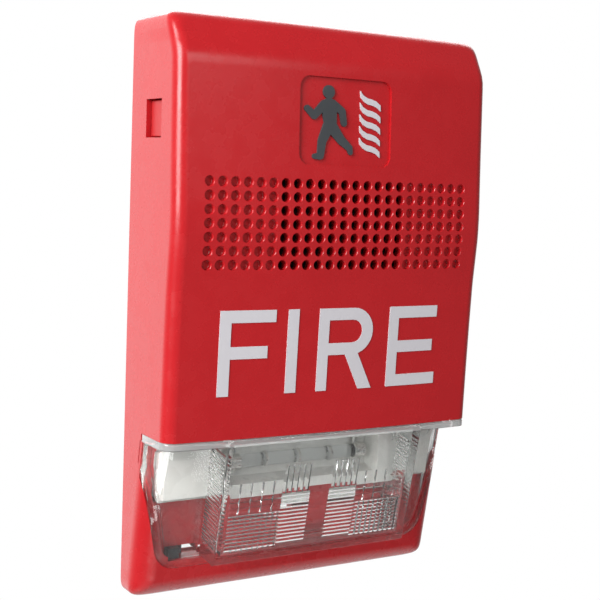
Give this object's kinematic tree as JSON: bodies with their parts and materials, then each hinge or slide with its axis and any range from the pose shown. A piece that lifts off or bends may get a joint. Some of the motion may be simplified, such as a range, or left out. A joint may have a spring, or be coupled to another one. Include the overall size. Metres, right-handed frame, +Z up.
{
  "type": "horn strobe",
  "caption": "Wall-mounted red fire alarm horn strobe with a round-holed sound grille, raised block lettering and a clear prism lens over a flash tube.",
  "frame": {"origin": "centre of the two box-screw holes, on the wall plane at the back of the mounting plate", "axes": "+Z up along the height, -Y out of the wall towards the viewer, +Y into the wall, +X to the viewer's right"},
  "size_m": [0.0826, 0.0254, 0.1306],
  "materials": {
    "cover_red": "satin, fine-textured flame-retardant red plastic",
    "plate_red": "satin red plastic, plain inside surfaces",
    "lens_clear": "clear polycarbonate, glossy, with prism ribs",
    "letter_white": "white printed and raised lettering",
    "pictogram_dark": "charcoal raised plastic",
    "reflector_white": "white metallised reflector",
    "tube_glass": "clear flash tube glass",
    "tin_metal": "tinned metal",
    "screen_black": "black dust cloth",
    "foam_grey": "dark foam",
    "housing_black": "black moulded plastic",
    "brass": "thin rolled brass",
    "board_green": "solder-masked glass-fibre board",
    "chip_black": "black moulded chips and tan chip resistors",
    "capacitor_sleeve": "shrink sleeve on an aluminium can",
    "tape_yellow": "polyester winding tape",
    "ferrite": "dark ferrite",
    "slider_black": "black moulded slider",
    "switch_blue": "blue moulded switch body",
    "lever_white": "white moulded lever",
    "block_black": "black moulded terminal block",
    "steel_zinc": "zinc-plated steel"
  },
  "bodies": {
    "wall_plate": {"mounting_plate": "plate_red", "terminal_block": "block_black", "terminal_contacts": "brass"},
    "head": {"front_cover": "cover_red", "strobe_lens": "lens_clear", "fire_lettering": "letter_white", "pictogram_figure": "pictogram_dark", "pictogram_flames": "letter_white", "dust_screen": "screen_black", "sounder_gasket": "foam_grey", "sounder_housing": "housing_black", "piezo_disc": "brass", "circuit_board": "board_green", "board_components": "chip_black", "storage_capacitor": "capacitor_sleeve", "trigger_transformer": "tape_yellow", "power_inductor": "ferrite", "board_screws": "steel_zinc", "plug_pins": "tin_metal", "reflector": "reflector_white", "flash_tube": "tube_glass", "tube_end_caps": "tin_metal", "tube_leads": "tin_metal", "trigger_band": "tin_metal", "candela_track": "plate_red", "tone_switch_body": "switch_blue"},
    "latch_left": {"latch_left": "plate_red"},
    "latch_right": {"latch_right": "plate_red"},
    "candela_slider": {"candela_slider": "slider_black"},
    "tone_lever_1": {"tone_lever_1": "lever_white"},
    "tone_lever_2": {"tone_lever_2": "lever_white"},
    "clamp_1": {"clamp_plate_1": "steel_zinc"},
    "screw_1": {"terminal_screw_1": "steel_zinc"},
    "clamp_2": {"clamp_plate_2": "steel_zinc"},
    "screw_2": {"terminal_screw_2": "steel_zinc"},
    "clamp_3": {"clamp_plate_3": "steel_zinc"},
    "screw_3": {"terminal_screw_3": "steel_zinc"},
    "clamp_4": {"clamp_plate_4": "steel_zinc"},
    "screw_4": {"terminal_screw_4": "steel_zinc"}
  },
  "joints": [
    {"name": "head_pull", "type": "slide", "parent": "wall_plate", "child": "head", "axis": [0, -1, 0], "range_m": [0, 0.03]},
    {"name": "latch_left_flex", "type": "hinge", "parent": "wall_plate", "child": "latch_left", "pos_m": [-0.0363, -0.0038, 0.04355], "axis": [0, 0, 1], "range_deg": [0, 5], "stiffness_Nm_per_rad": 0.3},
    {"name": "latch_right_flex", "type": "hinge", "parent": "wall_plate", "child": "latch_right", "pos_m": [0.0363, -0.0038, 0.04355], "axis": [0, 0, -1], "range_deg": [0, 5], "stiffness_Nm_per_rad": 0.3},
    {"name": "candela_select", "type": "slide", "parent": "head", "child": "candela_slider", "axis": [1, 0, 0], "range_m": [0, 0.0075]},
    {"name": "tone_lever_1_slide", "type": "slide", "parent": "head", "child": "tone_lever_1", "axis": [0, 0, 1], "range_m": [0, 0.002]},
    {"name": "tone_lever_2_slide", "type": "slide", "parent": "head", "child": "tone_lever_2", "axis": [0, 0, 1], "range_m": [0, 0.002]},
    {"name": "clamp_1_slide", "type": "slide", "parent": "wall_plate", "child": "clamp_1", "axis": [0, 1, 0], "range_m": [0, 0.0019]},
    {"name": "screw_1_turn", "type": "hinge", "parent": "clamp_1", "child": "screw_1", "pos_m": [-0.0123, -0.008, 0.0118], "axis": [0, 1, 0], "range_deg": [0, 1367.99]},
    {"name": "clamp_2_slide", "type": "slide", "parent": "wall_plate", "child": "clamp_2", "axis": [0, 1, 0], "range_m": [0, 0.0019]},
    {"name": "screw_2_turn", "type": "hinge", "parent": "clamp_2", "child": "screw_2", "pos_m": [-0.0041, -0.008, 0.0118], "axis": [0, 1, 0], "range_deg": [0, 1367.99]},
    {"name": "clamp_3_slide", "type": "slide", "parent": "wall_plate", "child": "clamp_3", "axis": [0, 1, 0], "range_m": [0, 0.0019]},
    {"name": "screw_3_turn", "type": "hinge", "parent": "clamp_3", "child": "screw_3", "pos_m": [0.0041, -0.008, 0.0118], "axis": [0, 1, 0], "range_deg": [0, 1367.99]},
    {"name": "clamp_4_slide", "type": "slide", "parent": "wall_plate", "child": "clamp_4", "axis": [0, 1, 0], "range_m": [0, 0.0019]},
    {"name": "screw_4_turn", "type": "hinge", "parent": "clamp_4", "child": "screw_4", "pos_m": [0.0123, -0.008, 0.0118], "axis": [0, 1, 0], "range_deg": [0, 1367.99]}
  ]
}
